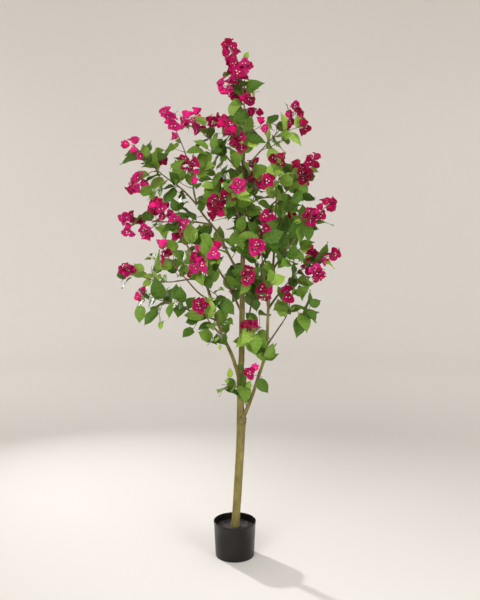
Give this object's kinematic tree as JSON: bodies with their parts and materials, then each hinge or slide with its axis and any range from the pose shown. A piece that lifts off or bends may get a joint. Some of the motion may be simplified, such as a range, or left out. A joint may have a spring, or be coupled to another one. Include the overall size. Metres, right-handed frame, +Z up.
{
  "type": "artificial bougainvillea tree in a pot",
  "caption": "Tall slim artificial bougainvillea: a leaning trunk, thin boughs and an airy crown of leaves and magenta blossom, standing in a small plain nursery pot with a solid fill.",
  "frame": {"origin": "centre of the pot's flat underside", "axes": "+Z up along the trunk, +X to the tree's right as seen from its front, -Y towards the front"},
  "size_m": [0.8068, 0.6079, 1.8159],
  "materials": {
    "pot_plastic": "satin",
    "cement_fill": "matte",
    "bark": "matte",
    "foliage": "satin"
  },
  "bodies": {
    "root": {"pot": "pot_plastic", "fill": "cement_fill", "trunk": "bark", "bough_right": "bark", "bough_right_side": "bark", "bough_right_mid": "bark", "bough_right_inner": "bark", "bough_right_outer": "bark", "bough_left": "bark", "bough_left_low": "bark", "bough_left_side": "bark", "bough_left_front": "bark", "bough_front_left": "bark", "bough_low_left": "bark", "bough_left_upper": "bark", "bough_left_outer": "bark", "bough_left_mid": "bark", "bough_front": "bark", "bough_front_high": "bark", "bough_right_high": "bark", "bough_back_low": "bark", "bough_back_left": "bark", "bough_back_right": "bark", "bough_back": "bark", "bough_high_front": "bark", "bough_high_left": "bark", "bough_high_right": "bark", "bough_high_back": "bark", "foliage_top": "foliage", "foliage_high_front": "foliage", "foliage_high_left": "foliage", "foliage_high_right": "foliage", "foliage_high_back": "foliage", "foliage_right_upper": "foliage", "foliage_right_high": "foliage", "foliage_right_outer": "foliage", "foliage_right_mid": "foliage", "foliage_right_low": "foliage", "foliage_front_right": "foliage", "foliage_front": "foliage", "foliage_front_high": "foliage", "foliage_front_left": "foliage", "foliage_left_shoulder": "foliage", "foliage_left_front": "foliage", "foliage_left_side": "foliage", "foliage_left_low": "foliage", "foliage_low_left": "foliage", "foliage_left_high": "foliage", "foliage_left_outer": "foliage", "foliage_left_mid": "foliage", "foliage_low_front": "foliage", "foliage_low_right": "foliage", "foliage_back_low": "foliage", "foliage_back_left": "foliage", "foliage_back_right": "foliage", "foliage_back": "foliage", "foliage_inner_left": "foliage", "foliage_inner_right": "foliage", "foliage_inner_back": "foliage"}
  },
  "joints": []
}
